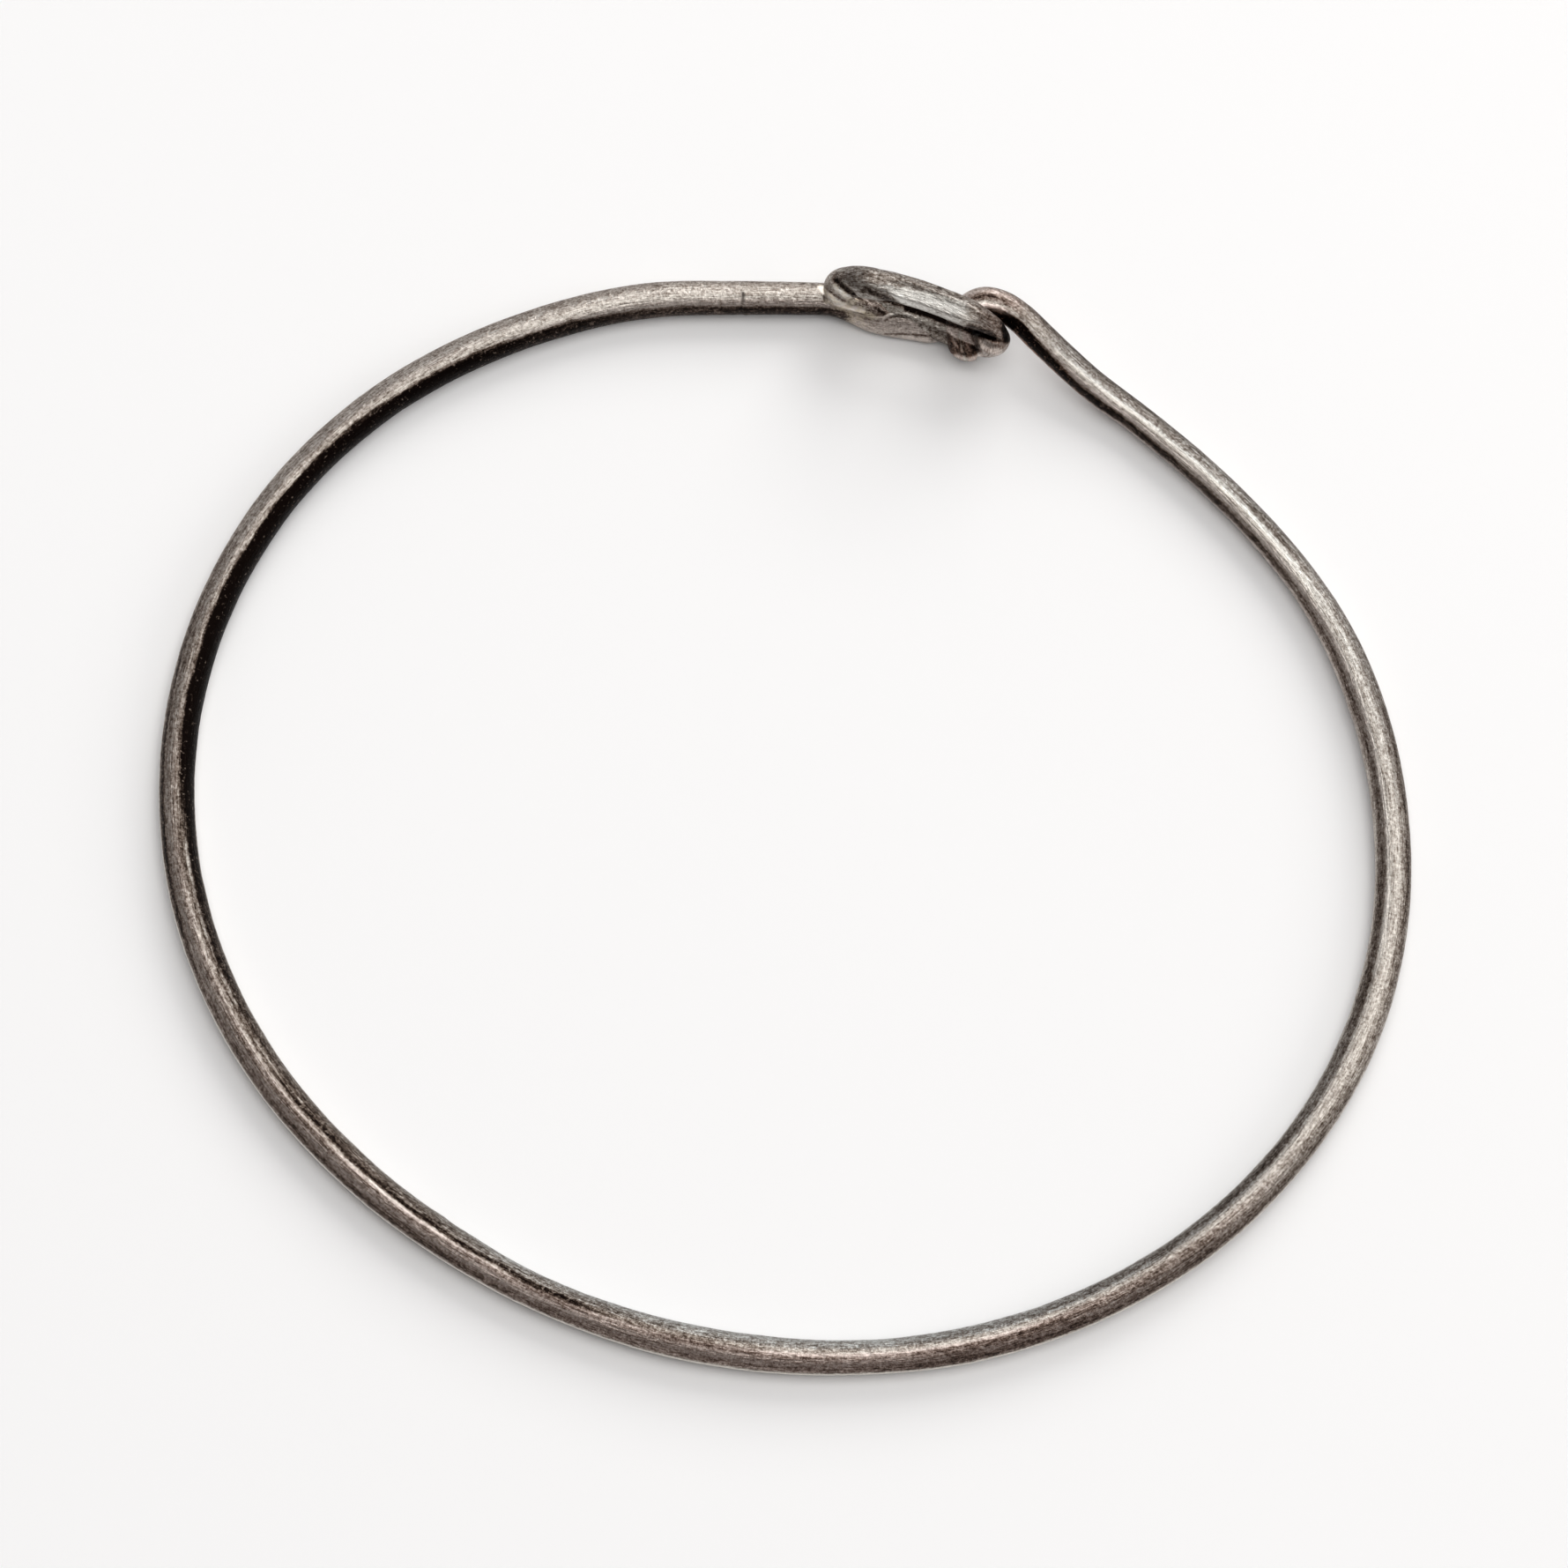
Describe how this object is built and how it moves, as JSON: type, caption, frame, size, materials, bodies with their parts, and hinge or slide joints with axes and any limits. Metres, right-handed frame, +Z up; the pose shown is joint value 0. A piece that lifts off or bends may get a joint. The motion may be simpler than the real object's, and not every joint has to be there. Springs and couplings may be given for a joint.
{
  "type": "knot bangle",
  "caption": "Oval bangle bent from round silver wire, with a long soldered eye at one end and a thinned hook at the other that springs through it.",
  "frame": {"origin": "on the surface that the bangle lies on, under the middle of its bounding box", "axes": "+Z up from that surface, +Y from the middle of the oval towards the clasp, +X the long way across the oval, towards the hook's shank"},
  "size_m": [0.0664, 0.0596, 0.0053],
  "materials": {
    "silver": "worn, tarnished silver, drawn and hammered"
  },
  "bodies": {
    "root": {"bangle": "silver"}
  },
  "joints": []
}
